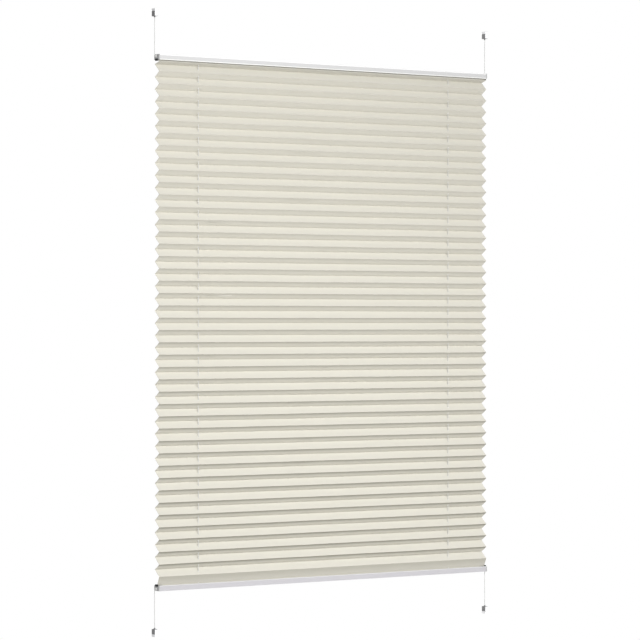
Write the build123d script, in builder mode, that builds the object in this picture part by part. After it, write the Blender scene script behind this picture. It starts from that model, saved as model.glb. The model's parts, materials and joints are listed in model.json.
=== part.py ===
from build123d import *
import os
from math import hypot, pi

# Free-hung pleated blind.  Two rails slide on a pair of taut cords that are stretched
# between four tension shoes, and the pleated cloth hangs between the rails.
# Millimetres.  +X runs to the right along the rails, -Y faces the room and +Z is up.
# The origin lies midway between the two upper screw holes, in the upper mounting plane.

# ---- overall sizes ----
mount_height = 1512.0  # upper mounting plane to lower mounting plane
rail_drop = 110.0  # mounting plane to the outer face of the nearer rail, at both ends
rail_length = 1000.0  # over both end caps
blind_plane = 2.2  # from the screw line back to the middle of the rails and the cloth

# ---- rails ----
rail_depth = 21.0
rail_height = 13.5
rail_wall = 1.2
rail_slot = 11.0  # opening towards the cloth
rail_corner = 1.0
bead_radius = 1.1  # rounded bead along the edge next to the cloth
bead_stand = 0.7  # how far the bead stands out of the rail's face

# ---- end caps with their cord bushes and rubber stops ----
cap_flange = 3.0
cap_plug_length = 12.0
cap_clearance = 0.15
bush_collar_diameter = 7.6
bush_collar_thickness = 1.6
bush_sleeve_diameter = 4.4
bush_sleeve_length = 4.0
bush_mouth = 0.5
bush_clearance = 0.05
bush_recess_depth = 0.8
stop_width = 12.0  # rubber stop along the cap's edge next to the cloth
stop_start = 10.8  # from the rail's outer face to the stop
stop_end = 16.0
stop_thickness = 2.0
stop_recess_depth = 1.2
stop_corner = 1.2
stop_edge = 0.4

# ---- cords ----
cord_diameter = 1.7
cord_outset = 3.4  # how far outside the rail's end the free cord runs
cord_setback = 3.6  # how far behind the middle of the rails the free cord runs
cord_level = 5.6  # from a rail's outer face to the middle of the two cords inside it
cord_spread = 1.1  # each cord's distance from that middle, the left one nearer the outer face
cord_end_bend = 3.5
cord_guide_bend = 4.0
cord_clearance = 0.45

# ---- cord guides inside the rails ----
hole_inset = 119.0  # from the rail's end to the cord that goes down through the cloth
guide_length = 16.0
guide_clearance = 0.15

# ---- cloth and the strips that hold it ----
cloth_edge_gap = 1.5  # cloth edge to the rail's end
cloth_thickness = 0.45
pleat_depth = 19.5
full_pleats = 41
fold_share = 0.44  # part of the pitch between a front ridge and the valley below it
first_ridge = 4.1  # these four are measured from the rail's face next to the cloth
first_valley = 9.7
second_ridge = 27.2
last_ridge = 21.2
cloth_hole_diameter = 3.4
strip_side_gap = 0.8
strip_thickness = 1.5
strip_end_gap = 1.0

# ---- tension shoes ----
shoe_width = 9.6
shoe_depth = 16.0
shoe_height = 18.0
shoe_front = 4.0  # from the screw line to the shoe's front
shoe_corner = 1.0
foot_thickness = 6.0
shoe_front_wall = 1.0
shoe_side_wall = 1.2
screw_hole_diameter = 3.2
screw_access_diameter = 5.2

# ---- tension block, anchor and spring in each shoe ----
block_clearance = 0.1
block_inset = 0.2  # how far the block's open faces stand back from the shoe's faces
block_stand = 0.6  # how far the block stands out of the shoe
block_corner = 0.5
chamber_diameter = 4.4
chamber_depth = 8.5
nozzle_length = 2.6
nozzle_root_diameter = 4.4
nozzle_tip_diameter = 3.4
anchor_diameter = 3.4
anchor_length = 2.6
anchor_gap = 0.3
anchor_fit = 0.05
spring_turns = 5
spring_pitch = 0.95
spring_radius = 1.6
spring_wire = 0.4
spring_gap = 0.05

# ---- derived places ----
LEFT, RIGHT = -1, 1
SIDES = {"left": LEFT, "right": RIGHT}
blind_height = mount_height - 2 * rail_drop
rail_end = rail_length / 2
extrusion_end = rail_end - cap_flange
cord_x = rail_end + cord_outset
cord_y = blind_plane + cord_setback  # of the free cords, outside the rails
hole_x = rail_end - hole_inset
passing_y = cord_y - cord_setback * (cord_x - hole_x) / (cord_x + hole_x)  # past the nearer guide
cord_radius = cord_diameter / 2
tunnel_radius = cord_radius + cord_clearance
inner_width = rail_depth - 2 * rail_wall
lip_level = rail_height - rail_wall  # outer face to the inner face of the slot's lips
strip_end = extrusion_end - cap_plug_length - strip_end_gap
strip_width = inner_width - 2 * strip_side_gap
cloth_end = rail_end - cloth_edge_gap
cloth_height = blind_height - 2 * rail_height
pitch = (cloth_height - second_ridge - last_ridge) / full_pleats
block_start = foot_thickness + block_clearance
block_height = shoe_height + block_stand - block_start
chamber_floor = block_start + chamber_depth


class Level:
    """One end of the blind: its mounting plane, its rail and the way towards the cloth."""

    def __init__(self, name, mount_z, inward):
        self.name = name
        self.mount_z = mount_z
        self.inward = inward
        self.rail_z = mount_z + inward * rail_drop

    def from_mount(self, distance):
        """Height of a point that lies the given distance in from the mounting plane."""
        return self.mount_z + self.inward * distance

    def from_rail(self, distance):
        """Height of a point that lies the given distance in from the rail's outer face."""
        return self.rail_z + self.inward * distance

    def mount_plane(self, x, y, distance):
        """Plane across the cord, facing the cloth, the given distance in from the mounting plane."""
        return Plane(origin=(x, y, self.from_mount(distance)), x_dir=(1, 0, 0), z_dir=(0, 0, self.inward))

    def rail_plane(self, x, y, distance):
        """The same, measured from the rail's outer face."""
        return Plane(origin=(x, y, self.from_rail(distance)), x_dir=(1, 0, 0), z_dir=(0, 0, self.inward))


LEVELS = [Level("top", 0.0, -1), Level("bottom", -mount_height, 1)]


def cord_depth(side):
    """Distance from a rail's outer face to the cord of that side, inside the rail."""
    return cord_level + side * cord_spread


def save(piece, name):
    """Label a finished piece and write it under the same name."""
    piece.label = name
    export_step(piece, f"parts/{name}.step")


def rail(level):
    """Open aluminium channel with a bead along both edges next to the cloth."""
    middle = level.from_rail(rail_height / 2)
    with BuildPart() as channel:
        with BuildSketch(Plane.YZ.offset(-extrusion_end)):
            with Locations((blind_plane, middle)):
                RectangleRounded(rail_depth, rail_height, rail_corner)
            bead_v = rail_depth / 2 + bead_stand - bead_radius
            bead_z = level.from_rail(rail_height - bead_radius)
            with Locations((blind_plane - bead_v, bead_z), (blind_plane + bead_v, bead_z)):
                Circle(bead_radius)
            with Locations((blind_plane, middle)):
                Rectangle(inner_width, rail_height - 2 * rail_wall, mode=Mode.SUBTRACT)
            with Locations((blind_plane, level.from_rail(rail_height))):
                Rectangle(rail_slot, 2 * rail_wall, mode=Mode.SUBTRACT)
        extrude(amount=2 * extrusion_end)
    return channel.part


def end_cap(level, side):
    """Moulded cap: a flange over the rail's end and a plug inside it, bored for the cord."""
    flange_plane = Plane.YZ.offset(side * extrusion_end)
    bush_z = level.from_rail(cord_depth(side))
    stop_z = level.from_rail((stop_start + stop_end) / 2)
    with BuildPart() as cap:
        with BuildSketch(flange_plane):
            with Locations((blind_plane, level.from_rail(rail_height / 2))):
                RectangleRounded(rail_depth + 2 * bead_stand, rail_height, bead_radius)
        extrude(amount=side * cap_flange)
        outer_face = cap.faces().sort_by(Axis.X)[-1 if side == RIGHT else 0]
        chamfer(outer_face.edges(), bead_stand / 2)
        with BuildSketch(flange_plane):
            with Locations((blind_plane, level.from_rail((rail_wall + lip_level) / 2))):
                Rectangle(inner_width - 2 * cap_clearance, lip_level - rail_wall - 2 * cap_clearance)
        extrude(amount=-side * cap_plug_length)
        with BuildSketch(Plane.YZ.offset(side * rail_end)):
            with Locations((cord_y, bush_z)):
                Circle(bush_collar_diameter / 2 + bush_clearance)
        extrude(amount=-side * bush_recess_depth, mode=Mode.SUBTRACT)
        with BuildSketch(Plane.YZ.offset(side * rail_end)):
            with Locations((blind_plane, stop_z)):
                RectangleRounded(stop_width + 2 * bush_clearance, stop_end - stop_start + 2 * bush_clearance, stop_corner)
        extrude(amount=-side * stop_recess_depth, mode=Mode.SUBTRACT)
        with BuildSketch(Plane.YZ.offset(side * rail_end)):
            with Locations((cord_y, bush_z)):
                Circle(bush_sleeve_diameter / 2 + bush_clearance)
        extrude(amount=-side * (cap_flange + cap_plug_length), mode=Mode.SUBTRACT)
    return cap.part


def cord_bush(level, side):
    """Turned bush with a collar and a rounded mouth, where the cord leaves the rail."""
    seat = side * (rail_end - bush_recess_depth)
    with BuildPart() as bush:
        with BuildSketch(Plane.YZ.offset(seat)):
            with Locations((cord_y, level.from_rail(cord_depth(side)))):
                Circle(bush_collar_diameter / 2)
        extrude(amount=side * bush_collar_thickness)
        with BuildSketch(Plane.YZ.offset(seat)):
            with Locations((cord_y, level.from_rail(cord_depth(side)))):
                Circle(bush_sleeve_diameter / 2)
        extrude(amount=-side * bush_sleeve_length)
        with BuildSketch(Plane.YZ.offset(side * (rail_end + bush_collar_thickness))):
            with Locations((cord_y, level.from_rail(cord_depth(side)))):
                Circle(tunnel_radius)
        extrude(amount=-side * 2 * (bush_collar_thickness + bush_sleeve_length), mode=Mode.SUBTRACT)
        mouth = bush.faces().sort_by(Axis.X)[-1 if side == RIGHT else 0]
        fillet(mouth.edges(), bush_mouth)
    return bush.part


def end_stop(level, side):
    """Rubber stop set in the cap, which meets the other rail's stop before the rails touch."""
    with BuildPart() as stop:
        with BuildSketch(Plane.YZ.offset(side * (rail_end - stop_recess_depth))):
            with Locations((blind_plane, level.from_rail((stop_start + stop_end) / 2))):
                RectangleRounded(stop_width, stop_end - stop_start, stop_corner)
        extrude(amount=side * stop_thickness)
        outer_face = stop.faces().sort_by(Axis.X)[-1 if side == RIGHT else 0]
        fillet(outer_face.edges(), stop_edge)
    return stop.part


def cord_guide(level, side):
    """Block inside the rail that turns one cord down to the cloth and lets the other pass."""
    x = side * hole_x
    turning_z = level.from_rail(cord_depth(-side))
    top = rail_wall + guide_clearance
    height = lip_level - strip_thickness - guide_clearance - top
    with BuildPart() as guide:
        with BuildSketch(level.rail_plane(x, blind_plane, top)):
            Rectangle(guide_length, inner_width - 2 * guide_clearance)
        extrude(amount=height)
        with BuildSketch(Plane.YZ.offset(x - guide_length)):
            with Locations((passing_y, level.from_rail(cord_depth(side)))):
                Circle(tunnel_radius)
        extrude(amount=2 * guide_length, mode=Mode.SUBTRACT)
        entry = (x - side * guide_length, turning_z)
        corner = (x, turning_z)
        leave = (x, level.from_rail(2 * rail_height))
        with BuildLine(Plane.XZ.offset(-blind_plane)):
            FilletPolyline(entry, corner, leave, radius=cord_guide_bend)
        with BuildSketch(Plane(origin=(entry[0], blind_plane, entry[1]), z_dir=(side, 0, 0))):
            Circle(tunnel_radius)
        sweep(mode=Mode.SUBTRACT)
    return guide.part


def cloth_strip(level):
    """Flat strip that lies on the slot's lips and holds the cloth's edge."""
    with BuildPart() as strip:
        with BuildSketch(level.rail_plane(0, blind_plane, lip_level - strip_thickness)):
            Rectangle(2 * strip_end, strip_width)
            with Locations((-hole_x, 0), (hole_x, 0)):
                Circle(cloth_hole_diameter / 2, mode=Mode.SUBTRACT)
        extrude(amount=strip_thickness)
    return strip.part


def pleat_line():
    """Corner points along the cloth, as (y, z), from the top strip down to the bottom one."""
    top, bottom = LEVELS
    front = blind_plane - pleat_depth / 2
    back = blind_plane + pleat_depth / 2
    face = top.from_rail(rail_height)
    points = [(blind_plane, top.from_rail(lip_level)), (front, face - first_ridge), (back, face - first_valley)]
    for count in range(full_pleats):
        ridge = face - second_ridge - count * pitch
        points += [(front, ridge), (back, ridge - fold_share * pitch)]
    points.append((front, bottom.from_rail(rail_height) + last_ridge))
    points.append((blind_plane, bottom.from_rail(lip_level)))
    return points


def pleated_cloth():
    """One folded sheet, trimmed where it enters the rails, with a hole in every face for a cord."""
    with BuildPart() as cloth:
        with BuildSketch(Plane.YZ.offset(-cloth_end)):
            with BuildLine():
                Polyline(*pleat_line())
                offset(amount=cloth_thickness, side=Side.LEFT, kind=Kind.INTERSECTION)
            make_face()
        extrude(amount=2 * cloth_end)
        for level in LEVELS:
            with BuildSketch(Plane.XY.offset(level.from_rail(rail_height))):
                with Locations((-rail_end, blind_plane), (rail_end, blind_plane)):
                    Rectangle(2 * (rail_end - strip_end), rail_slot)
            extrude(amount=-level.inward * rail_height, mode=Mode.SUBTRACT)
        with BuildSketch(LEVELS[0].rail_plane(0, blind_plane, 0)):
            with Locations((-hole_x, 0), (hole_x, 0)):
                Circle(cloth_hole_diameter / 2)
        extrude(amount=blind_height, mode=Mode.SUBTRACT)
    return cloth.part


def cord(side):
    """One cord: shoe, rail end, across to the far hole, down through the cloth, and back."""
    top, bottom = LEVELS
    outer = side * cord_x
    inner = -side * hole_x
    across = hypot(inner - outer, cord_setback)
    depth = cord_depth(side)
    anchor = block_start + anchor_gap + anchor_gap
    route = [
        (0, top.from_mount(anchor)),
        (0, top.from_rail(depth)),
        (across, top.from_rail(depth)),
        (across, bottom.from_rail(depth)),
        (0, bottom.from_rail(depth)),
        (0, bottom.from_mount(anchor)),
    ]
    bends = [cord_end_bend, cord_guide_bend, cord_guide_bend, cord_end_bend]
    way = (inner - outer, -cord_setback, 0)
    with BuildPart() as line:
        with BuildLine(Plane(origin=(outer, cord_y, 0), x_dir=way, z_dir=(way[1], -way[0], 0))) as path:
            FilletPolyline(*route, radius=bends)
        with BuildSketch(top.mount_plane(outer, cord_y, anchor)):
            Circle(cord_radius)
        sweep()
    length = sum(edge.length for edge in path.edges())
    section = pi * cord_radius**2
    print(f"cord length {length:.1f} mm, bends {bends}, volume ratio {line.part.volume / (section * length):.4f}")
    return line.part


def shoe(level, side):
    """Cover that is screwed to the window: a foot, a front wall and a wall on its right."""
    x = side * cord_x
    middle_y = shoe_depth / 2 - shoe_front
    pocket_width = shoe_width - shoe_side_wall
    pocket_depth = shoe_depth - shoe_front_wall
    with BuildPart() as cover:
        with BuildSketch(level.mount_plane(x, middle_y, 0)):
            Rectangle(shoe_width, shoe_depth)
        extrude(amount=shoe_height)
        fillet(cover.edges().filter_by(Axis.Z), shoe_corner)
        with BuildSketch(Plane.XY.offset(level.from_mount(foot_thickness))):
            with Locations((x - shoe_width / 2, shoe_depth - shoe_front)):
                Rectangle(2 * pocket_width, 2 * pocket_depth)
        extrude(amount=level.inward * shoe_height, mode=Mode.SUBTRACT)
        with BuildSketch(Plane.XY.offset(level.from_mount(foot_thickness))):
            with Locations((x, 0)):
                Circle(screw_hole_diameter / 2)
        extrude(amount=-level.inward * foot_thickness, mode=Mode.SUBTRACT)
        outer_end = cover.faces().filter_by(Axis.Z).sort_by(Axis.Z)[-1 if level.inward > 0 else 0]
        chamfer(outer_end.edges().filter_by(Axis.X).sort_by(Axis.Y)[0], block_corner)
    return cover.part


def tension_block(level, side):
    """Dark block in the shoe, with the cord's chamber, its nozzle and a way in for the screw."""
    x = side * cord_x
    left = x - shoe_width / 2 + block_inset
    right = x + shoe_width / 2 - shoe_side_wall - block_clearance
    front = shoe_front_wall + block_clearance - shoe_front
    back = shoe_depth - shoe_front - block_inset
    with BuildPart() as block:
        with BuildSketch(Plane.XY.offset(level.from_mount(block_start))):
            with Locations(((left + right) / 2, (front + back) / 2)):
                RectangleRounded(right - left, back - front, block_corner)
        extrude(amount=level.inward * block_height)
        with BuildSketch(level.mount_plane(x, cord_y, block_start + block_height)):
            Circle(nozzle_root_diameter / 2)
        with BuildSketch(level.mount_plane(x, cord_y, block_start + block_height + nozzle_length)):
            Circle(nozzle_tip_diameter / 2)
        loft()
        with BuildSketch(level.mount_plane(x, cord_y, block_start)):
            Circle(tunnel_radius)
        extrude(amount=block_height + nozzle_length, mode=Mode.SUBTRACT)
        with BuildSketch(level.mount_plane(x, cord_y, block_start)):
            Circle(chamber_diameter / 2)
        extrude(amount=chamber_depth, mode=Mode.SUBTRACT)
        with BuildSketch(level.mount_plane(x, 0, block_start)):
            Circle(screw_access_diameter / 2)
        extrude(amount=block_height, mode=Mode.SUBTRACT)
    return block.part


def cord_anchor(level, side):
    """Ferrule on the cord's end, which bears on the spring."""
    with BuildPart() as anchor:
        with BuildSketch(level.mount_plane(side * cord_x, cord_y, block_start + anchor_gap)):
            Circle(anchor_diameter / 2)
        extrude(amount=anchor_length)
        with BuildSketch(level.mount_plane(side * cord_x, cord_y, block_start + 2 * anchor_gap)):
            Circle(cord_radius + anchor_fit)
        extrude(amount=anchor_length, mode=Mode.SUBTRACT)
    return anchor.part


def tension_spring(level, side):
    """Compression spring between the anchor and the chamber's floor."""
    length = spring_turns * spring_pitch
    foot = chamber_floor - spring_gap - spring_wire / 2
    lower_end = min(level.from_mount(foot), level.from_mount(foot - length))
    with BuildPart() as spring:
        with BuildLine():
            coil = Helix(spring_pitch, length, spring_radius, center=(side * cord_x, cord_y, lower_end))
        with BuildSketch(Plane(origin=coil @ 0, z_dir=coil % 0)):
            Circle(spring_wire / 2)
        sweep(path=coil, is_frenet=True)
    return spring.part


os.makedirs("parts", exist_ok=True)

for level in LEVELS:
    save(rail(level), f"{level.name}_rail")
    save(cloth_strip(level), f"{level.name}_cloth_strip")
    for side_name, side in SIDES.items():
        corner_name = f"{level.name}_{side_name}"
        save(end_cap(level, side), f"{corner_name}_end_cap")
        save(cord_bush(level, side), f"{corner_name}_cord_bush")
        save(end_stop(level, side), f"{corner_name}_end_stop")
        save(cord_guide(level, side), f"{corner_name}_cord_guide")
        save(shoe(level, side), f"{corner_name}_shoe")
        save(tension_block(level, side), f"{corner_name}_tension_block")
        save(cord_anchor(level, side), f"{corner_name}_cord_anchor")
        save(tension_spring(level, side), f"{corner_name}_tension_spring")

save(pleated_cloth(), "pleated_cloth")
for side_name, side in SIDES.items():
    save(cord(side), f"{side_name}_cord")

corners = pleat_line()
flat_length = sum(hypot(b[0] - a[0], b[1] - a[1]) for a, b in zip(corners, corners[1:]))
print(f"cloth flat {2 * cloth_end:.1f} x {flat_length:.1f} mm, pitch {pitch:.3f} mm")
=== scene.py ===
"""Looks of a free-hung pleated blind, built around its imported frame.

Two white rails slide on a pair of taut cords between four tension shoes, and a cream
pleated cloth hangs between them.  Lengths are in metres, +X runs to the right along the
rails, -Y faces the room and +Z is up.
"""

import json
import logging
import math
from dataclasses import dataclass, field
from enum import Enum
from typing import Callable, Sequence

import bmesh
import bpy
import numpy as np
from mathutils import Matrix, Vector, noise


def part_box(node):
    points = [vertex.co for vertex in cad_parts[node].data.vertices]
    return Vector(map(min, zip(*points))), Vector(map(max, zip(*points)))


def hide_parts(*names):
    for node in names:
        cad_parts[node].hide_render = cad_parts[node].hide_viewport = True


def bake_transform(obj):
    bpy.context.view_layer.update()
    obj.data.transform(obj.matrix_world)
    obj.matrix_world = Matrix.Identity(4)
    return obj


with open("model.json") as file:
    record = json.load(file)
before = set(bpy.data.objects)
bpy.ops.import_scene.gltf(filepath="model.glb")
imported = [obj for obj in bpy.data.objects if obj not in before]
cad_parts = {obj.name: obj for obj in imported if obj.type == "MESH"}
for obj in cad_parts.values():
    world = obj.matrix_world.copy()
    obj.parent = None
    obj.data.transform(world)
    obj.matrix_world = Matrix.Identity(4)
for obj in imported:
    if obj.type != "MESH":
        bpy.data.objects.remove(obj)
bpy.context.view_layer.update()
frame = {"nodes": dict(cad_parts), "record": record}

logging.basicConfig(level=logging.INFO, format="%(name)s: %(message)s")
log = logging.getLogger("blind")

MM = 0.001
SLUBS_ALONG, SLUBS_ACROSS = 60.0, 900.0  # slubs per metre along a thread and across it
BROAD_SHARE = 0.7  # share of broad patches in a grained surface's tone
Colour = tuple[float, float, float]
WHITE: Colour = (1.0, 1.0, 1.0)
BLACK: Colour = (0.0, 0.0, 0.0)


class Side(Enum):
    """The two ends of a rail, with the sign of X there."""

    LEFT = -1
    RIGHT = 1

    @property
    def word(self) -> str:
        """The side's name in node names."""
        return self.name.lower()


class Level(Enum):
    """The upper and lower rail, with the way from each towards the cloth."""

    TOP = -1
    BOTTOM = 1

    @property
    def word(self) -> str:
        """The level's name in node names."""
        return self.name.lower()

    @property
    def body(self) -> str:
        """The body that slides with this rail."""
        return f"{self.word}_rail"


# ---------------------------------------------------------------- node helpers


@dataclass
class NodeSheet:
    """A node tree with short calls for adding nodes and joining them.

    Args:
        tree: The material's, world's or group's node tree.
    """

    tree: bpy.types.NodeTree

    def add(self, kind: str, **inputs: object) -> bpy.types.Node:
        """Add a node and set its inputs, joining each that is given a socket.

        Args:
            kind: The node's type name, such as ShaderNodeTexNoise.
            **inputs: Values or output sockets by input name, with _ for a space.

        Returns:
            The new node.
        """
        node = self.tree.nodes.new(kind)
        for name, value in inputs.items():
            self.feed(node, name.replace("_", " "), value)
        return node

    def feed(self, node: bpy.types.Node, name: str | int, value: object) -> None:
        """Set one input of a node, or join it to an output socket."""
        if isinstance(value, bpy.types.NodeSocket):
            self.tree.links.new(value, node.inputs[name])
        else:
            node.inputs[name].default_value = value

    def maths(self, operation: str, *values: object, clamp: bool = False) -> bpy.types.NodeSocket:
        """Add a Math node.

        Args:
            operation: The Math node's operation.
            *values: Numbers or sockets, in order.
            clamp: True to hold the result between 0 and 1.

        Returns:
            The result's socket.
        """
        node = self.tree.nodes.new("ShaderNodeMath")
        node.operation = operation
        node.use_clamp = clamp
        for index, value in enumerate(values):
            self.feed(node, index, value)
        return node.outputs[0]

    def span(
        self, value: object, low: float, high: float, to: tuple[float, float] = (0.0, 1.0)
    ) -> bpy.types.NodeSocket:
        """Map a value from one span to another with smooth ends, and return the result's socket."""
        node = self.tree.nodes.new("ShaderNodeMapRange")
        node.interpolation_type = "SMOOTHSTEP"
        names = ("Value", "From Min", "From Max", "To Min", "To Max")
        for name, entry in zip(names, (value, low, high, *to)):
            self.feed(node, name, entry)
        return node.outputs["Result"]

    def blend(self, share: object, first: object, second: object) -> bpy.types.NodeSocket:
        """Mix two colours and return the result's socket."""
        node = self.tree.nodes.new("ShaderNodeMix")
        node.data_type = "RGBA"
        for index, entry in zip((0, 6, 7), (share, first, second)):
            self.feed(node, index, opaque(entry))
        return node.outputs[2]


def opaque(colour: object) -> object:
    """A colour of three numbers with full alpha added; anything else comes back as it is."""
    return (*colour, 1.0) if isinstance(colour, tuple) and len(colour) == 3 else colour


def new_group(
    name: str, inputs: dict[str, float], outputs: Sequence[str]
) -> tuple[NodeSheet, bpy.types.Node, bpy.types.Node]:
    """Start a shader node group with a Vector input, float inputs and float outputs.

    Args:
        name: The group's name.
        inputs: Default value of each float input.
        outputs: Names of the float outputs.

    Returns:
        The group's sheet, its input node and its output node.
    """
    tree = bpy.data.node_groups.new(name, "ShaderNodeTree")
    tree.interface.new_socket("Vector", in_out="INPUT", socket_type="NodeSocketVector")
    for label, value in inputs.items():
        socket = tree.interface.new_socket(label, in_out="INPUT", socket_type="NodeSocketFloat")
        socket.default_value = value
    for label in outputs:
        tree.interface.new_socket(label, in_out="OUTPUT", socket_type="NodeSocketFloat")
    sheet = NodeSheet(tree)
    return sheet, tree.nodes.new("NodeGroupInput"), tree.nodes.new("NodeGroupOutput")


def weave_group() -> bpy.types.NodeTree:
    """Plain weave: crossing threads with uneven slubs, as a height and a tone."""
    sheet, given, made = new_group("PlainWeave", {"Thread": 0.0005, "Slub": 0.5}, ("Height", "Tone"))
    parts = sheet.add("ShaderNodeSeparateXYZ", Vector=given.outputs["Vector"])
    turn = sheet.maths("DIVIDE", math.tau, given.outputs["Thread"])
    across = sheet.maths("SINE", sheet.maths("MULTIPLY", parts.outputs["X"], turn))
    along = sheet.maths("SINE", sheet.maths("MULTIPLY", parts.outputs["Y"], turn))
    threads = sheet.maths("MULTIPLY", across, along)
    slubs = []
    for scale in ((SLUBS_ALONG, SLUBS_ACROSS, 1.0), (SLUBS_ACROSS, SLUBS_ALONG, 1.0)):
        stretch = sheet.add("ShaderNodeMapping", Vector=given.outputs["Vector"], Scale=scale)
        noisy = sheet.add("ShaderNodeTexNoise", Vector=stretch.outputs[0], Scale=1.0, Detail=3.0)
        slubs.append(noisy.outputs["Fac"])
    uneven = sheet.maths("ADD", *slubs)
    uneven = sheet.maths("MULTIPLY", sheet.maths("SUBTRACT", uneven, 1.0), given.outputs["Slub"])
    height = sheet.maths("ADD", sheet.maths("MULTIPLY", threads, 0.5), uneven)
    sheet.feed(made, "Height", height)
    sheet.feed(made, "Tone", sheet.maths("ADD", 0.5, sheet.maths("MULTIPLY", uneven, 0.5), clamp=True))
    return sheet.tree


def grain_group() -> bpy.types.NodeTree:
    """Fine moulded or sprayed grain with broad soft patches, as a height and a tone."""
    sheet, given, made = new_group("FineGrain", {"Grain": 900.0, "Patch": 14.0}, ("Height", "Tone"))
    place, grain, patch = (given.outputs[name] for name in ("Vector", "Grain", "Patch"))
    fine = sheet.add("ShaderNodeTexNoise", Vector=place, Scale=grain, Detail=2.0).outputs["Fac"]
    broad = sheet.add("ShaderNodeTexNoise", Vector=place, Scale=patch, Detail=3.0).outputs["Fac"]
    sheet.feed(made, "Height", fine)
    fine_part = sheet.maths("MULTIPLY", fine, 1.0 - BROAD_SHARE)
    sheet.feed(made, "Tone", sheet.maths("ADD", fine_part, sheet.maths("MULTIPLY", broad, BROAD_SHARE)))
    return sheet.tree


class Effects:
    """The node groups that several finishes share, each built once."""

    _made: dict[str, bpy.types.NodeTree] = {}
    _makers: dict[str, Callable[[], bpy.types.NodeTree]] = {"weave": weave_group, "grain": grain_group}

    @classmethod
    def place(cls, sheet: NodeSheet, name: str, **inputs: object) -> bpy.types.Node:
        """Put a shared effect in a material.

        Args:
            sheet: The material's node sheet.
            name: The effect, weave or grain.
            **inputs: Values or sockets for the group's inputs.

        Returns:
            The group node.
        """
        if name not in cls._made:
            cls._made[name] = cls._makers[name]()
        node = sheet.tree.nodes.new("ShaderNodeGroup")
        node.node_tree = cls._made[name]
        for label, value in inputs.items():
            sheet.feed(node, label, value)
        return node


# ---------------------------------------------------------------- finishes


@dataclass(frozen=True)
class Finish:
    """A surface that a material is made from.

    Args:
        name: The material's name.
        colour: Linear base colour.
        roughness: Middle roughness.
    """

    name: str
    colour: Colour
    roughness: float = 0.5

    def start(self) -> tuple[bpy.types.Material, NodeSheet, bpy.types.Node]:
        """Make the material with its sheet and its Principled node, joined to the output."""
        material = bpy.data.materials.new(self.name)
        material.use_nodes = True
        material.node_tree.nodes.clear()
        sheet = NodeSheet(material.node_tree)
        surface = sheet.add("ShaderNodeBsdfPrincipled")
        output = sheet.add("ShaderNodeOutputMaterial")
        material.node_tree.links.new(surface.outputs[0], output.inputs["Surface"])
        return material, sheet, surface

    def material(self) -> bpy.types.Material:
        """Build the material."""
        raise NotImplementedError

    def tint(self, sheet: NodeSheet, tone: object, spread: float) -> bpy.types.NodeSocket:
        """Vary the base colour by a tone around its middle.

        Args:
            sheet: The material's node sheet.
            tone: A socket that runs from 0 to 1.
            spread: Share of the colour that the tone takes away or adds.

        Returns:
            The colour's socket.
        """
        low = tuple(c * (1 - spread) for c in self.colour)
        high = tuple(min(1.0, c * (1 + spread)) for c in self.colour)
        return sheet.blend(tone, low, high)


@dataclass(frozen=True)
class GrainFinish(Finish):
    """Moulded plastic, powder coat or plain metal with a fine grain.

    Args:
        spread: How much the colour varies.
        grain: Grains per metre.
        relief: Height of the grain in metres.
        metal: 1 for a metal.
        drawn: Stretch of the grain along X, as on an extruded bar.
    """

    spread: float = 0.03
    grain: float = 1400.0
    relief: float = 0.02 * MM
    metal: float = 0.0
    drawn: float = 1.0

    def material(self) -> bpy.types.Material:
        """Build the material."""
        made, sheet, surface = self.start()
        place = sheet.add("ShaderNodeTexCoord")
        scale = (1 / self.drawn, 1.0, 1.0)
        stretch = sheet.add("ShaderNodeMapping", Vector=place.outputs["Object"], Scale=scale)
        grain = Effects.place(sheet, "grain", Vector=stretch.outputs[0], Grain=self.grain)
        sheet.feed(surface, "Base Color", self.tint(sheet, grain.outputs["Tone"], self.spread))
        rough = (self.roughness * 0.85, min(1.0, self.roughness * 1.15))
        sheet.feed(surface, "Roughness", sheet.span(grain.outputs["Tone"], 0.2, 0.8, rough))
        height = grain.outputs["Height"]
        bump = sheet.add("ShaderNodeBump", Strength=0.5, Distance=self.relief, Height=height)
        sheet.feed(surface, "Normal", bump.outputs[0])
        surface.inputs["Metallic"].default_value = self.metal
        return made


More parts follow.
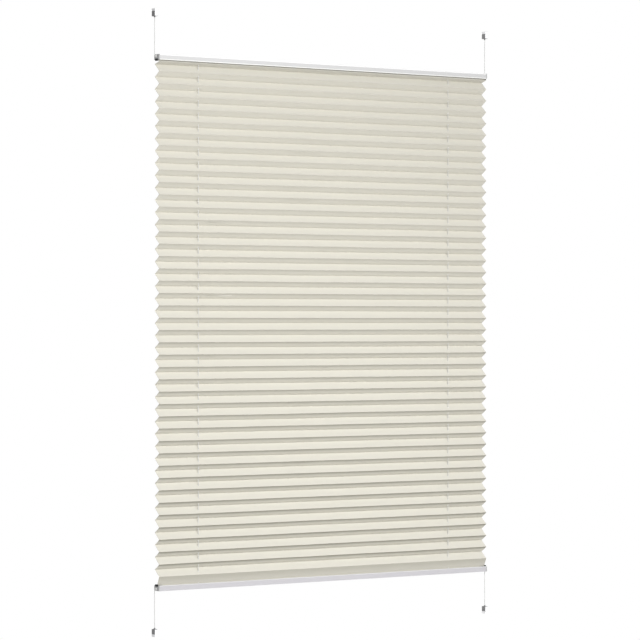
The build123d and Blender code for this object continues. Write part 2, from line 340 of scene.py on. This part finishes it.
@dataclass(frozen=True)
class RailFinish(GrainFinish):
    """Powder coat on a drawn bar, with painted highlights along the beads next to the cloth and along the
    top edge, and painted shade over the lower rail.

    Args:
        beads: Heights of the top rail's bead, the bottom rail's bead and the top edge.
        bead_radius: Radius of a bead.
        painted_highlight: Colour of the painted highlight along each of the three.
        lower: Colour of the lower rail: the same coat, darkened as painted shade.
        change: Height over which the upper rail's colour turns into the lower rail's painted shade.
    """

    beads: tuple[float, float, float] = (0.0, -1.0, 1.0)
    bead_radius: float = 1.1 * MM
    painted_highlight: tuple[Colour, Colour, Colour] = (WHITE, WHITE, WHITE)
    lower: Colour = WHITE
    change: float = 0.1

    def tint(self, sheet: NodeSheet, tone: object, spread: float) -> bpy.types.NodeSocket:
        """Vary the colour by a tone, paint shade over the lower rail and paint highlights along the beads
        and the top edge.

        Args:
            sheet: The material's node sheet.
            tone: A socket that runs from 0 to 1.
            spread: Share of the colour that the tone takes away or adds.

        Returns:
            The colour's socket.
        """
        colour = super().tint(sheet, tone, spread)
        place = sheet.add("ShaderNodeTexCoord")
        height = sheet.add("ShaderNodeSeparateXYZ", Vector=place.outputs["Object"]).outputs["Z"]
        halfway = (self.beads[0] + self.beads[1]) / 2
        # Painted shade: the lower rail takes a darker colour, blended in over a span of height.
        low = tuple(c * (1 - spread) for c in self.lower)
        high = tuple(c * (1 + spread) for c in self.lower)
        painted_shade_share = sheet.span(height, halfway, halfway - self.change)
        colour = sheet.blend(painted_shade_share, colour, sheet.blend(tone, low, high))
        # Painted highlights: a lighter colour along the beads next to the cloth and along the top rail's
        # top edge.
        for bead, painted_highlight in zip(self.beads, self.painted_highlight):
            away = sheet.maths("ABSOLUTE", sheet.maths("SUBTRACT", height, bead))
            highlight_band = sheet.span(away, 1.2 * self.bead_radius, 0.8 * self.bead_radius)
            colour = sheet.blend(highlight_band, colour, painted_highlight)
        return colour


@dataclass(frozen=True)
class ClothFinish(Finish):
    """Stiffened polyester with a plain weave and pressed creases, with a painted highlight on the upward
    faces behind each front crease and painted shade on the downward faces under it, darker towards the
    foot.

    Args:
        front: Y of the front ridges.
        highlight_width: Width of the painted highlight along a front crease, on the upper side.
        dip: Width of the painted shade under a front crease, from its clear end to its full one.
        lit: How much lighter the painted highlight along a crease's upper side is than the cloth.
        top: Height of the cloth's upper edge.
        foot: Height of its lower edge.
        under: Colour of the painted shade under a front crease, at the top and at the foot.
    """

    front: float = 0.0
    highlight_width: float = 2.2 * MM
    dip: tuple[float, float] = (11.0 * MM, 0.66 * MM)
    lit: float = 0.06
    top: float = 0.0
    foot: float = -1.0
    under: tuple[Colour, Colour] = ((0.575, 0.555, 0.49), (0.28, 0.265, 0.215))

    def material(self) -> bpy.types.Material:
        """Build the material."""
        made, sheet, surface = self.start()
        flat = sheet.add("ShaderNodeUVMap")
        flat.uv_map = PleatedCloth.UV_NAME
        weave = Effects.place(sheet, "weave", Vector=flat.outputs[0])
        colour = self.tint(sheet, weave.outputs["Tone"], 0.06)
        place = sheet.add("ShaderNodeTexCoord")
        where = sheet.add("ShaderNodeSeparateXYZ", Vector=place.outputs["Object"]).outputs
        facing = sheet.add("ShaderNodeSeparateXYZ", Vector=place.outputs["Normal"]).outputs["Z"]
        # Painted highlight: a lighter tone on upward faces just behind each front crease.
        crease_highlight_mask = sheet.span(where["Y"], self.front + self.highlight_width, self.front)
        # Painted shade: a darker tone on downward faces under each front crease, darker towards the foot.
        crease_shade_mask = sheet.span(where["Y"], *(self.front + depth for depth in self.dip))
        upward = sheet.span(facing, 0.0, 0.4)
        downward = sheet.span(facing, -0.1, -0.6)
        pale = tuple(min(1.0, c * (1 + self.lit)) for c in self.colour)
        crease_shade = sheet.blend(sheet.span(where["Z"], self.top, self.foot), *self.under)
        colour = sheet.blend(sheet.maths("MULTIPLY", crease_highlight_mask, upward), colour, pale)
        colour = sheet.blend(sheet.maths("MULTIPLY", crease_shade_mask, downward), colour, crease_shade)
        sheet.feed(surface, "Base Color", colour)
        sheet.feed(surface, "Roughness", sheet.span(weave.outputs["Tone"], 0.2, 0.8, (0.92, 0.78)))
        height = weave.outputs["Height"]
        bump = sheet.add("ShaderNodeBump", Strength=0.35, Distance=0.06 * MM, Height=height)
        sheet.feed(surface, "Normal", bump.outputs[0])
        surface.inputs["Sheen Weight"].default_value = 0.15
        surface.inputs["Specular IOR Level"].default_value = 0.25
        return made


@dataclass(frozen=True)
class CordFinish(Finish):
    """Braided cord: strands that cross in a fine diamond pattern along the cord.

    Args:
        strand: Length of one diamond of the braid.
        diamonds: Diamonds round the cord.
    """

    strand: float = 1.1 * MM
    diamonds: int = 4

    def material(self) -> bpy.types.Material:
        """Build the material."""
        made, sheet, surface = self.start()
        place = sheet.add("ShaderNodeUVMap")
        place.uv_map = TautCord.UV_NAME
        parts = sheet.add("ShaderNodeSeparateXYZ", Vector=place.outputs[0])
        round_turn = sheet.maths("MULTIPLY", parts.outputs["X"], self.diamonds * math.tau)
        run = sheet.maths("MULTIPLY", parts.outputs["Y"], math.tau / self.strand)
        one = sheet.maths("SINE", sheet.maths("ADD", round_turn, run))
        other = sheet.maths("SINE", sheet.maths("SUBTRACT", round_turn, run))
        braid = sheet.maths("MAXIMUM", one, other)
        tone = sheet.span(braid, -0.6, 1.0)
        sheet.feed(surface, "Base Color", self.tint(sheet, tone, 0.08))
        sheet.feed(surface, "Roughness", sheet.span(tone, 0.0, 1.0, (0.8, 0.6)))
        bump = sheet.add("ShaderNodeBump", Strength=0.6, Distance=0.1 * MM, Height=braid)
        sheet.feed(surface, "Normal", bump.outputs[0])
        return made


@dataclass(frozen=True)
class FloorFinish(Finish):
    """Pale studio floor that fades to the white round it.

    Args:
        inner: Distance from the middle where the fade starts.
        outer: Distance where it is complete.
    """

    inner: float = 0.8
    outer: float = 2.6

    def material(self) -> bpy.types.Material:
        """Build the material."""
        made, sheet, surface = self.start()
        place = sheet.add("ShaderNodeTexCoord")
        flat = sheet.add("ShaderNodeVectorMath", Vector=place.outputs["Object"])
        flat.operation = "MULTIPLY"
        flat.inputs[1].default_value = (1.0, 1.0, 0.0)
        reach = sheet.add("ShaderNodeVectorMath")
        reach.operation = "LENGTH"
        sheet.feed(reach, 0, flat.outputs[0])
        fade = sheet.span(reach.outputs["Value"], self.inner, self.outer)
        sheet.feed(surface, "Base Color", sheet.blend(fade, self.colour, BLACK))
        surface.inputs["Roughness"].default_value = self.roughness
        surface.inputs["Specular IOR Level"].default_value = 0.0
        sheet.feed(surface, "Emission Color", sheet.blend(fade, BLACK, WHITE))
        surface.inputs["Emission Strength"].default_value = 1.0
        return made


class Wardrobe:
    """The finishes of the blind, one for each material slot of the record."""

    BEAD_INSET = 1.1 * MM

    def __init__(self, front: float) -> None:
        """Name the finishes.

        Args:
            front: Y of the cloth's front ridges.
        """
        rail_foot, rail_top = (corner.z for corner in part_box("top_rail"))
        lower_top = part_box("bottom_rail")[1].z
        beads = (rail_foot + self.BEAD_INSET, lower_top - self.BEAD_INSET, rail_top - self.BEAD_INSET)
        finishes: dict[str, Finish] = {
            "white_aluminium": RailFinish(
                "WhitePowderCoat",
                (0.54, 0.54, 0.54),
                0.45,
                spread=0.02,
                grain=900.0,
                relief=0.03 * MM,
                drawn=6.0,
                beads=beads,
                # Painted highlights along the beads and the top edge; the lower rail's darker colour is
                # painted shade.
                painted_highlight=((0.8, 0.8, 0.78), (0.6, 0.6, 0.6), (0.84, 0.84, 0.84)),
                lower=(0.475, 0.465, 0.485),
            ),
            "cap_plastic": GrainFinish("GreyCapPlastic", (0.42, 0.42, 0.42), 0.42),
            "bush_plastic": GrainFinish("PaleBushPlastic", (0.78, 0.78, 0.76), 0.36),
            "stop_rubber": GrainFinish("BlackStopRubber", (0.012, 0.012, 0.012), 0.6),
            "guide_plastic": GrainFinish("GuidePlastic", (0.75, 0.75, 0.73), 0.45),
            "strip_plastic": GrainFinish("StripPlastic", (0.80, 0.79, 0.75), 0.5, drawn=6.0),
            "shoe_plastic": GrainFinish("WhiteShoePlastic", (0.84, 0.84, 0.85), 0.32, spread=0.015),
            "block_plastic": GrainFinish("GreyBlockPlastic", (0.2, 0.2, 0.202), 0.46),
            "ferrule_metal": GrainFinish("BrassFerrule", (0.62, 0.45, 0.19), 0.3, spread=0.05, metal=1.0),
            "spring_steel": GrainFinish("SpringSteel", (0.5, 0.5, 0.52), 0.28, spread=0.04, metal=1.0),
            # The cloth's finish paints a highlight and shade along its front creases.
            "pleated_fabric": ClothFinish(
                "CreamPleatedCloth", (0.625, 0.607, 0.543), front=front, top=beads[0], foot=beads[1]
            ),
            "cord_fibre": CordFinish("WhiteBraidedCord", (0.56, 0.56, 0.55)),
        }
        self.materials = {slot: finish.material() for slot, finish in finishes.items()}

    def dress(self, piece: bpy.types.Object, slot: str) -> None:
        """Give a piece the material of a slot, in place of any it has."""
        piece.data.materials.clear()
        piece.data.materials.append(self.materials[slot])

    def dress_frame(self) -> None:
        """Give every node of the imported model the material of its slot."""
        for entry in frame["record"]["subparts"]:
            self.dress(frame["nodes"][entry["node"]], entry["material_slot"])
        log.info("dressed %d packed nodes", len(frame["nodes"]))


# ---------------------------------------------------------------- mesh helpers


def new_piece(name: str, mesh: bmesh.types.BMesh) -> bpy.types.Object:
    """Turn a finished bmesh into an object at the origin.

    Args:
        name: The object's name.
        mesh: The shape, which is freed.

    Returns:
        The object, linked to the scene.
    """
    data = bpy.data.meshes.new(name)
    mesh.to_mesh(data)
    mesh.free()
    piece = bpy.data.objects.new(name, data)
    bpy.context.scene.collection.objects.link(piece)
    return piece


def hang_between(piece: bpy.types.Object, moving: str) -> None:
    """Bake a piece's placement into its mesh.

    Args:
        piece: The finished piece.
        moving: Not used.
    """
    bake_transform(piece)


# ---------------------------------------------------------------- cloth


@dataclass
class PleatedCloth:
    """The pleated cloth, as an upper and a lower part that meet halfway down.

    Args:
        columns: Strips that the width is cut into.
        rows: Strips that each face is cut into.
        sag: How far the middle of a face hangs below its flat place.
        wave: How far a crease strays from its straight line.
        wave_length: Length of those waves along the cloth.
        held: Distance from a rail over which the cloth keeps its place.
        eased: Further distance over which it comes to stray freely.
        seed: Where the waves start in the noise.
        sharp: Angle in degrees past which an edge is shaded as a crease.
    """

    UV_NAME = "ClothFlat"

    columns: int = 14
    rows: int = 5
    sag: float = 0.6 * MM
    wave: float = 0.5 * MM
    wave_length: float = 0.16
    held: float = 4.0 * MM
    eased: float = 30.0 * MM
    seed: float = 7.0
    sharp: float = 8.0
    corners: list[tuple[float, float]] = field(default_factory=list)

    def __post_init__(self) -> None:
        """Find the cloth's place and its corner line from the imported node."""
        self.low, self.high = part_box("pleated_cloth")
        self.width = self.high.x - self.low.x
        self.corners = self.find_corners()
        heights = [z for _, z in self.corners]
        half_way = (self.low.z + self.high.z) / 2
        self.meeting = min(heights, key=lambda z: abs(z - half_way))

    def find_corners(self) -> list[tuple[float, float]]:
        """Corner points (y, z) along the cloth's own edge, from the top down."""
        data = frame["nodes"]["pleated_cloth"].data
        edge = self.low.x + 1e-5
        ends = {(round(v.co.y, 5), round(v.co.z, 5)) for v in data.vertices if v.co.x < edge}
        centre = (self.low.y + self.high.y) / 2
        reach = 0.45 * (self.high.y - self.low.y)
        outer = [p for p in ends if abs(p[0] - centre) > reach]
        outer.sort(key=lambda p: -p[1])
        line: list[tuple[float, float]] = [(centre, self.high.z)]
        for y, z in outer:
            same_side = (line[-1][0] - centre) * (y - centre) > 0
            if same_side:
                line[-1] = ((line[-1][0] + y) / 2, (line[-1][1] + z) / 2)
            else:
                line.append((y, z))
        line.append((centre, self.low.z))
        return line

    def half(self, level: Level) -> bmesh.types.BMesh:
        """One half of the cloth as cut strips.

        Args:
            level: The rail that this half hangs at.

        Returns:
            The half's closed mesh.
        """
        mesh = bmesh.new()
        mesh.from_mesh(frame["nodes"]["pleated_cloth"].data)
        bmesh.ops.remove_doubles(mesh, verts=mesh.verts, dist=1e-6)
        point = (0.0, 0.0, self.meeting)
        outward = (0.0, 0.0, float(level.value))
        everything = mesh.verts[:] + mesh.edges[:] + mesh.faces[:]
        bmesh.ops.bisect_plane(mesh, geom=everything, plane_co=point, plane_no=outward, clear_outer=True)
        rim = [e for e in mesh.edges if e.is_boundary]
        bmesh.ops.holes_fill(mesh, edges=rim, sides=0)
        for column in range(1, self.columns):
            x = self.low.x + self.width * column / self.columns
            everything = mesh.verts[:] + mesh.edges[:] + mesh.faces[:]
            bmesh.ops.bisect_plane(mesh, geom=everything, plane_co=(x, 0, 0), plane_no=(1, 0, 0))
        for row in range(1, self.rows):
            y = self.low.y + (self.high.y - self.low.y) * row / self.rows
            everything = mesh.verts[:] + mesh.edges[:] + mesh.faces[:]
            bmesh.ops.bisect_plane(mesh, geom=everything, plane_co=(0, y, 0), plane_no=(0, 1, 0))
        bmesh.ops.remove_doubles(mesh, verts=mesh.verts, dist=2e-6)
        return mesh

    def lay_flat(self, mesh: bmesh.types.BMesh) -> None:
        """Give the cloth a map of its own: across by along, both in metres of flat cloth."""
        heights = [z for _, z in self.corners][::-1]
        lengths = [0.0]
        for a, b in zip(self.corners, self.corners[1:]):
            lengths.append(lengths[-1] + math.dist(a, b))
        lengths.reverse()
        flat = mesh.loops.layers.uv.new(self.UV_NAME)
        for face in mesh.faces:
            for loop in face.loops:
                run = float(np.interp(loop.vert.co.z, heights, lengths))
                loop[flat].uv = (loop.vert.co.x, run)

    def settle(self, mesh: bmesh.types.BMesh) -> None:
        """Let faces sag and creases stray a little, less towards the rails."""
        depth = self.high.y - self.low.y
        for vert in mesh.verts:
            share = (vert.co.y - self.low.y) / depth
            from_rail = min(self.high.z - vert.co.z, vert.co.z - self.low.z)
            ease = min(1.0, max(0.0, from_rail - self.held) / self.eased)
            across, down = vert.co.x / self.wave_length, vert.co.z / (0.25 * self.wave_length)
            stray = noise.noise(Vector((across, down, self.seed)))
            vert.co.z += ease * (stray * self.wave - self.sag * math.sin(math.pi * share))

    def build(self, level: Level, wardrobe: Wardrobe) -> bpy.types.Object:
        """Make one half and dress it.

        Args:
            level: The rail that this half hangs at.
            wardrobe: The blind's finishes.

        Returns:
            The finished half.
        """
        mesh = self.half(level)
        self.lay_flat(mesh)
        self.settle(mesh)
        piece = new_piece(f"{level.word}_pleated_cloth", mesh)
        piece.data.shade_smooth()
        piece.data.set_sharp_from_angle(angle=math.radians(self.sharp))
        wardrobe.dress(piece, "pleated_fabric")
        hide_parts("pleated_cloth")
        rail_low, rail_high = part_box(level.body)
        hang_between(piece, level.body)
        level.body
        return piece


# ---------------------------------------------------------------- cords

CORD_RADIUS = 0.85 * MM
CORD_ROUTES: dict[tuple[Side, Level], tuple[tuple[float, float, float], ...]] = {
    (Side.LEFT, Level.TOP): (
        (-0.5034, 0.0058, -0.0067),
        (-0.5034, 0.0058, -0.1045),
        (-0.5034, 0.0058, -0.1145),
        (-0.4934, 0.0058, -0.1145),
        (0.3710, 0.0022, -0.1145),
        (0.3810, 0.0022, -0.1145),
        (0.3810, 0.0022, -0.1245),
        (0.3810, 0.0022, -0.7560),
    ),
    (Side.LEFT, Level.BOTTOM): (
        (-0.5034, 0.0058, -1.5053),
        (-0.5034, 0.0058, -1.4075),
        (-0.5034, 0.0058, -1.3975),
        (-0.4934, 0.0058, -1.3975),
        (0.3710, 0.0022, -1.3975),
        (0.3810, 0.0022, -1.3975),
        (0.3810, 0.0022, -1.3875),
        (0.3810, 0.0022, -0.7560),
    ),
    (Side.RIGHT, Level.TOP): (
        (0.5034, 0.0058, -0.0067),
        (0.5034, 0.0058, -0.1067),
        (0.5034, 0.0058, -0.1167),
        (0.4934, 0.0058, -0.1167),
        (-0.3710, 0.0022, -0.1167),
        (-0.3810, 0.0022, -0.1167),
        (-0.3810, 0.0022, -0.1267),
        (-0.3810, 0.0022, -0.7560),
    ),
    (Side.RIGHT, Level.BOTTOM): (
        (0.5034, 0.0058, -1.5053),
        (0.5034, 0.0058, -1.4053),
        (0.5034, 0.0058, -1.3953),
        (0.4934, 0.0058, -1.3953),
        (-0.3710, 0.0022, -1.3953),
        (-0.3810, 0.0022, -1.3953),
        (-0.3810, 0.0022, -1.3853),
        (-0.3810, 0.0022, -0.7560),
    ),
}


@dataclass
class TautCord:
    """Half of one cord: shoe, rail end, across to the far hole and on through the cloth.

    Args:
        side: The side whose shoe holds it.
        level: The rail that it runs through.
        sides: Sides of its section.
        smoothness: Points that its line has between two points of its route.
    """

    UV_NAME = "CordRun"

    side: Side
    level: Level
    sides: int = 14
    smoothness: int = 12

    def __post_init__(self) -> None:
        """Draw the cord's line from its route."""
        self.route = CORD_ROUTES[self.side, self.level]
        self.name = f"{self.side.word}_cord_{'upper' if self.level is Level.TOP else 'lower'}"
        self.line = self.draw_line()
        steps = [(b - a).length for a, b in zip(self.line, self.line[1:])]
        self.runs = [0.0, *np.cumsum(steps).tolist()]

    def draw_line(self) -> list[Vector]:
        """Points of the smooth spline that the route controls."""
        curve = bpy.data.curves.new(f"{self.name}_route", "CURVE")
        curve.dimensions = "3D"
        spline = curve.splines.new("NURBS")
        spline.points.add(len(self.route) - 1)
        for place, point in zip(spline.points, self.route):
            place.co = (*point, 1.0)
        spline.order_u = 3
        spline.use_endpoint_u = True
        spline.resolution_u = self.smoothness
        holder = bpy.data.objects.new(curve.name, curve)
        drawn = bpy.data.meshes.new_from_object(holder)
        line = [v.co.copy() for v in drawn.vertices]
        bpy.data.objects.remove(holder)
        bpy.data.curves.remove(curve)
        bpy.data.meshes.remove(drawn)
        return line

    def ring_place(self, index: int) -> Matrix:
        """Place of the ring at one point of the line, square to the line there.

        Args:
            index: The point's number.

        Returns:
            The ring's matrix.
        """
        before = self.line[max(0, index - 1)]
        after = self.line[min(len(self.line) - 1, index + 1)]
        ahead = (after - before).normalized()
        first, last = Vector(self.route[0]), Vector(self.route[-1])
        level_way = Vector((last.x - first.x, last.y - first.y, 0.0))
        sideways = level_way.cross(Vector((0.0, 0.0, 1.0))).normalized()
        upward = ahead.cross(sideways)
        turn = Matrix((sideways, upward, ahead)).transposed().to_4x4()
        return Matrix.Translation(self.line[index]) @ turn

    def tube(self) -> bmesh.types.BMesh:
        """Rings along the line, bridged one to the next, with both ends closed."""
        mesh = bmesh.new()
        last = len(self.line) - 1
        previous: list[bmesh.types.BMEdge] = []
        for index in range(last + 1):
            made = bmesh.ops.create_circle(
                mesh,
                cap_ends=index in (0, last),
                segments=self.sides,
                radius=CORD_RADIUS,
                matrix=self.ring_place(index),
            )
            ring = list({e for v in made["verts"] for e in v.link_edges})
            if previous:
                bmesh.ops.bridge_loops(mesh, edges=previous + ring)
            previous = ring
        bmesh.ops.recalc_face_normals(mesh, faces=mesh.faces)
        mesh.verts.index_update()
        return mesh

    def map_braid(self, mesh: bmesh.types.BMesh) -> None:
        """Map the surface as turn round the cord by distance along it."""
        flat = mesh.loops.layers.uv.new(self.UV_NAME)
        for face in mesh.faces:
            turns = [loop.vert.index % self.sides / self.sides for loop in face.loops]
            low = min(turns)
            for loop, turn in zip(face.loops, turns):
                wrapped = turn - 1.0 if turn - low > 0.5 else turn
                loop[flat].uv = (wrapped, self.runs[loop.vert.index // self.sides])

    def stretch(self, piece: bpy.types.Object) -> None:
        """Bake the piece's placement into its mesh."""
        self.level.body
        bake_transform(piece)

    def build(self, wardrobe: Wardrobe) -> bpy.types.Object:
        """Args:
            wardrobe: The blind's finishes.

        Returns:
            The finished half.
        """
        mesh = self.tube()
        self.map_braid(mesh)
        piece = new_piece(self.name, mesh)
        piece.data.shade_smooth()
        piece.data.set_sharp_from_angle(angle=math.radians(60))
        wardrobe.dress(piece, "cord_fibre")
        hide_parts(f"{self.side.word}_cord")
        self.stretch(piece)
        log.info("%s: %.3f m", piece.name, self.runs[-1])
        return piece


# ---------------------------------------------------------------- studio


@dataclass(frozen=True)
class Lamp:
    """One square soft light.

    Args:
        name: The light's name.
        place: Where it hangs.
        aim: The point it faces.
        size: Length of its side.
        power: Its power in watts.
    """

    name: str
    place: tuple[float, float, float]
    aim: tuple[float, float, float]
    size: float
    power: float

    def hang(self) -> None:
        """Add the light to the scene."""
        data = bpy.data.lights.new(self.name, "AREA")
        data.shape = "SQUARE"
        data.size = self.size
        data.energy = self.power
        lamp = bpy.data.objects.new(self.name, data)
        lamp.location = self.place
        way = Vector(self.aim) - Vector(self.place)
        lamp.rotation_euler = way.to_track_quat("-Z", "Y").to_euler()
        bpy.context.scene.collection.objects.link(lamp)


LAMPS = (
    Lamp("KeyLight", (-0.9, -3.0, 0.4), (0.0, 0.0, -0.6), 0.7, 79.0),
    Lamp("TopLight", (0.5, -2.0, 0.1), (0.5, -1.99, -1.9), 0.7, 29.0),
    Lamp("BackFill", (0.5, 3.6, 0.2), (0.0, 0.0, -0.6), 2.4, 90.0),
)


@dataclass
class Studio:
    """Camera, lights, floor and white surroundings.

    Args:
        eye: The camera's place.
        heading: Angle of its line of sight from +Y towards +X, in degrees.
        tilt: Angle of its line of sight above the level, in degrees.
        lens: Focal length in millimetres on a 36 mm sensor.
        floor_z: Height of the floor.
        floor_radius: Radius of the floor.
        ambient: Strength of the white surroundings as a light.
    """

    eye: Vector = field(default_factory=lambda: Vector((-4.2727, -6.0999, -0.7552)))
    heading: float = 34.869
    tilt: float = 0.0433
    lens: float = 167.45
    floor_z: float = -1.95
    floor_radius: float = 3.0
    ambient: float = 0.47

    def camera(self) -> None:
        """Place the camera and make it the scene's."""
        data = bpy.data.cameras.new("StudioCamera")
        data.lens = self.lens
        data.sensor_width = 36.0
        data.clip_end = 60.0
        camera = bpy.data.objects.new("StudioCamera", data)
        camera.location = self.eye
        camera.rotation_euler = (math.radians(90 + self.tilt), 0.0, math.radians(-self.heading))
        bpy.context.scene.collection.objects.link(camera)
        bpy.context.scene.camera = camera

    def surroundings(self) -> None:
        """White surroundings, which light the blind less than they show."""
        world = bpy.data.worlds.new("StudioWhite")
        world.use_nodes = True
        world.node_tree.nodes.clear()
        sheet = NodeSheet(world.node_tree)
        seen = sheet.add("ShaderNodeLightPath").outputs["Is Camera Ray"]
        power = sheet.maths("ADD", sheet.maths("MULTIPLY", seen, 1.0 - self.ambient), self.ambient)
        background = sheet.add("ShaderNodeBackground", Color=opaque(WHITE), Strength=power)
        output = sheet.add("ShaderNodeOutputWorld")
        world.node_tree.links.new(background.outputs[0], output.inputs["Surface"])
        bpy.context.scene.world = world

    def floor(self) -> None:
        """Lay the pale floor, which fades into the white round it."""
        mesh = bmesh.new()
        place = Matrix.Translation((0.0, 0.0, self.floor_z))
        bmesh.ops.create_circle(mesh, cap_ends=True, segments=96, radius=self.floor_radius, matrix=place)
        floor = new_piece("studio_floor", mesh)
        floor.data.materials.append(FloorFinish("StudioFloor", (0.82, 0.82, 0.82), 0.9).material())

    def build(self) -> None:
        """Set up the whole studio."""
        self.camera()
        self.surroundings()
        self.floor()
        for lamp in LAMPS:
            lamp.hang()
        bpy.context.scene.view_settings.view_transform = "Standard"
        log.info("studio ready")


def main() -> None:
    """Build the studio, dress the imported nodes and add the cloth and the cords."""
    Studio().build()
    cloth = PleatedCloth()
    wardrobe = Wardrobe(cloth.low.y)
    wardrobe.dress_frame()
    for level in Level:
        cloth.build(level, wardrobe)
    for side, level in CORD_ROUTES:
        TautCord(side, level).build(wardrobe)


if __name__ == "__main__":
    main()
